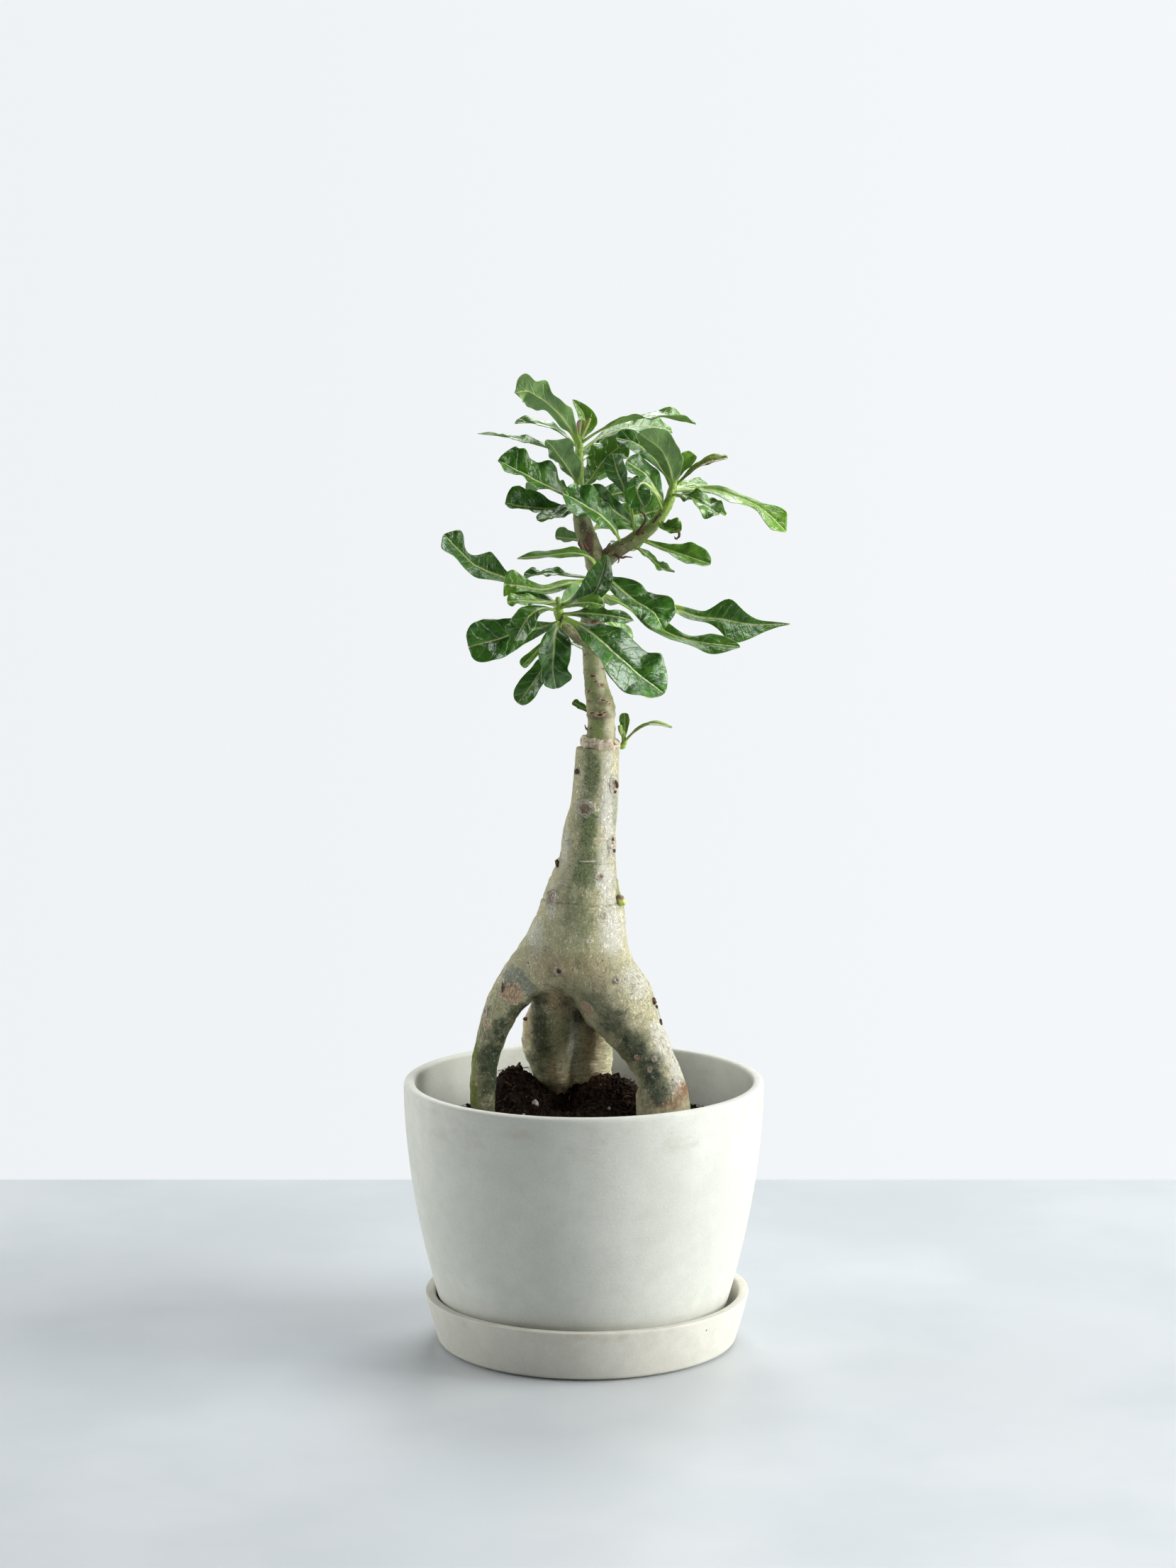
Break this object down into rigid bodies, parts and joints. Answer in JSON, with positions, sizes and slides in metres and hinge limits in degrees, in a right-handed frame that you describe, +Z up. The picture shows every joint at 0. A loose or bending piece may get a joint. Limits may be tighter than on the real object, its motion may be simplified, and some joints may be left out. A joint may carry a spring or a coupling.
{
  "type": "potted desert rose adenium",
  "caption": "Potted desert rose (adenium) with a swollen three-legged rootstock, a grafted leafy top, soil, a tapered matte pot and a saucer.",
  "frame": {"origin": "centre of the pot's axis on the table under the saucer", "axes": "+Z up along the pot's axis, +X to the right in the picture, +Y away from the viewer"},
  "size_m": [0.213, 0.2, 0.5348],
  "materials": {
    "pot_body": "matte, pale grey-green moulded composite with fine speckles and small pits",
    "soil": "coarse dark potting mix of coco fibre and bark with a few white grains",
    "bark": "smooth grey-green skin with pale patches, corky scars and thin horizontal marks",
    "scion_wood": "olive young bark with brown leaf scars, green where it turns soft",
    "leaf": "glossy dark green upper sides with pale yellow-green veins, lighter undersides"
  },
  "bodies": {
    "root": {"saucer": "pot_body", "pot": "pot_body", "soil": "soil", "rootstock": "bark", "stem": "scion_wood", "leader_shoot": "leaf", "right_shoot": "leaf", "left_shoot": "leaf", "graft_sprout": "leaf"}
  },
  "joints": []
}
